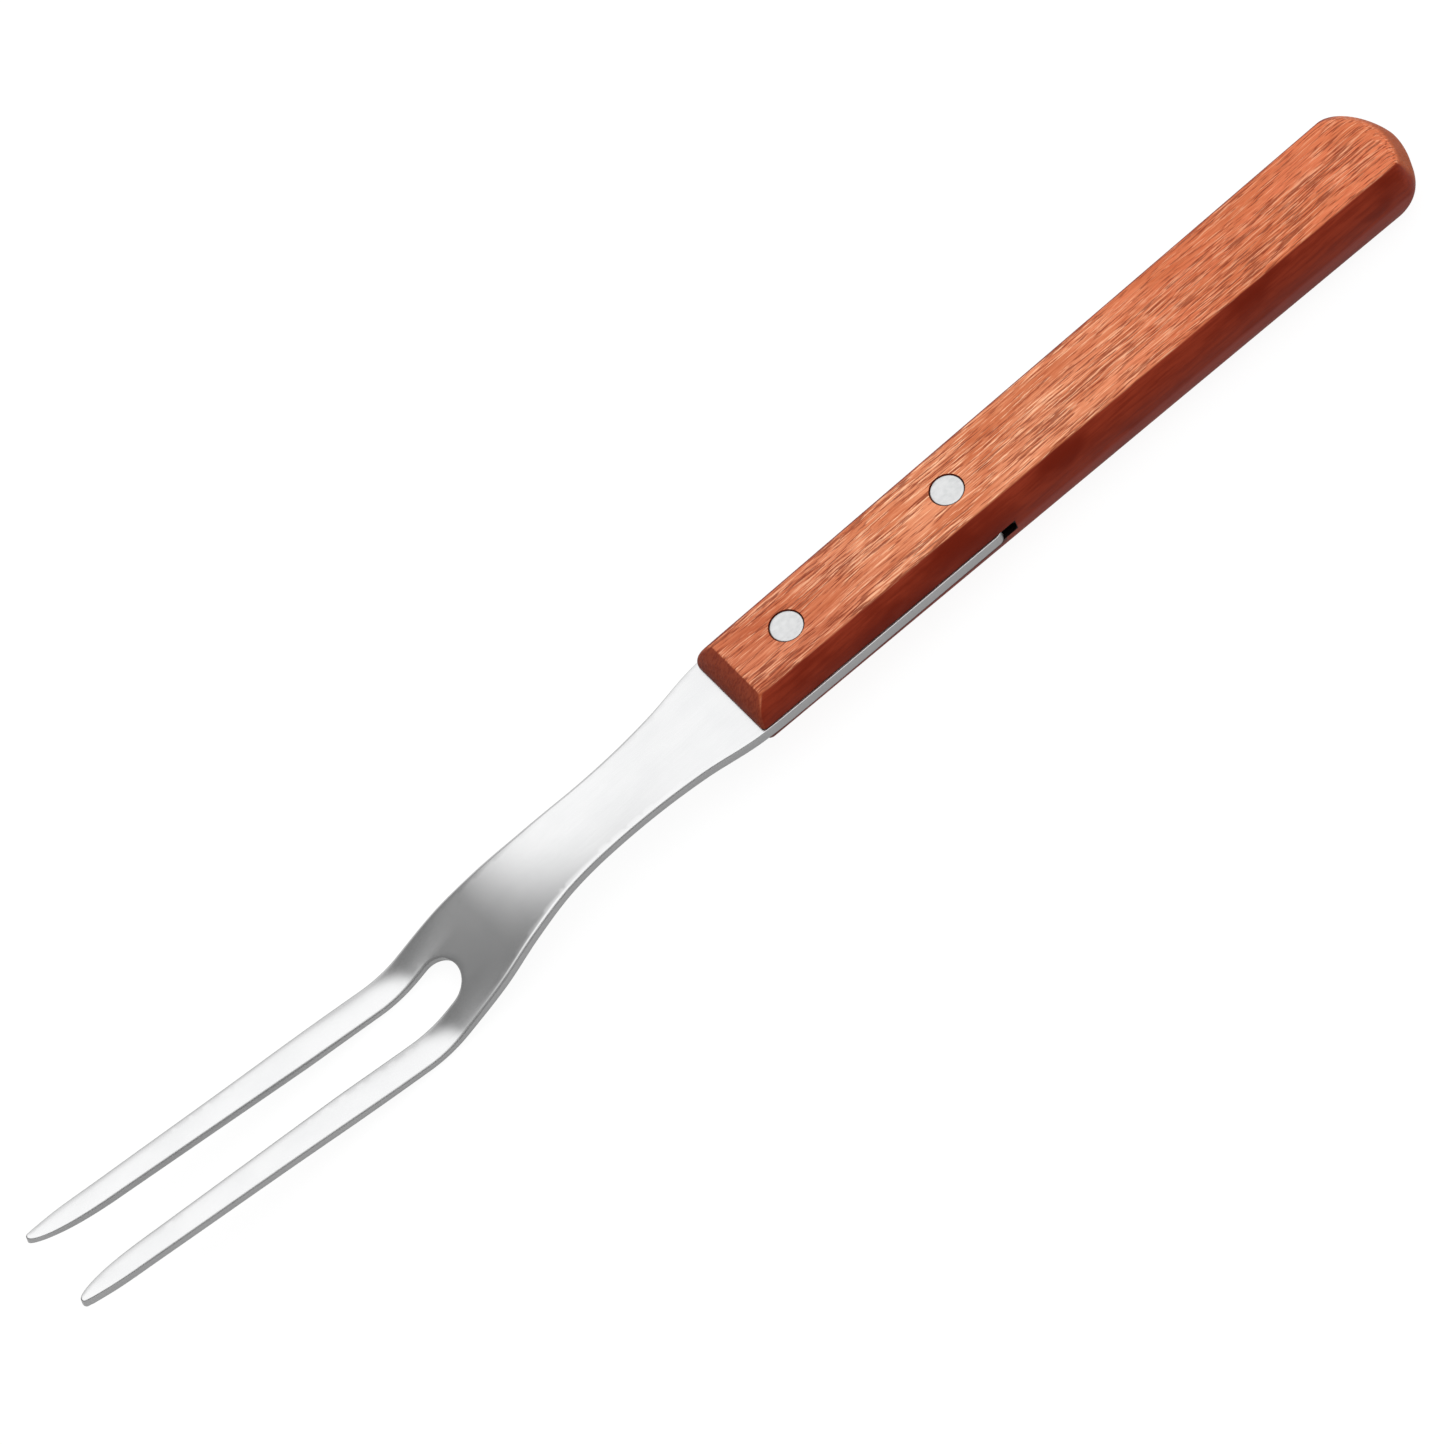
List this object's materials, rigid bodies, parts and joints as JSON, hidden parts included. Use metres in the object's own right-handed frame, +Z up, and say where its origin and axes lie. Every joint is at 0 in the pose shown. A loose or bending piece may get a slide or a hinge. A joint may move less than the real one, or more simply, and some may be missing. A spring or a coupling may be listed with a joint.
{
  "type": "two-tine cooking fork",
  "caption": "Long two-tine cooking fork: a cranked stainless steel blade whose tang is riveted into the saw slot of a tapered hardwood handle.",
  "frame": {"origin": "centre of the bounding box, on the surface that the fork lies on", "axes": "+X along the fork from the tines to the rear of the handle, +Y across it, +Z up from the surface"},
  "size_m": [0.333, 0.0232, 0.019],
  "materials": {
    "blade_steel": "fine satin polish with softly rounded edges",
    "handle_wood": "oiled reddish hardwood with open pores along the grain",
    "rivet_metal": "satin, ground flush with the wood"
  },
  "bodies": {
    "root": {"fork_blade": "blade_steel", "handle": "handle_wood", "rivet_front_female": "rivet_metal", "rivet_front_male": "rivet_metal", "rivet_rear_female": "rivet_metal", "rivet_rear_male": "rivet_metal"}
  },
  "joints": []
}
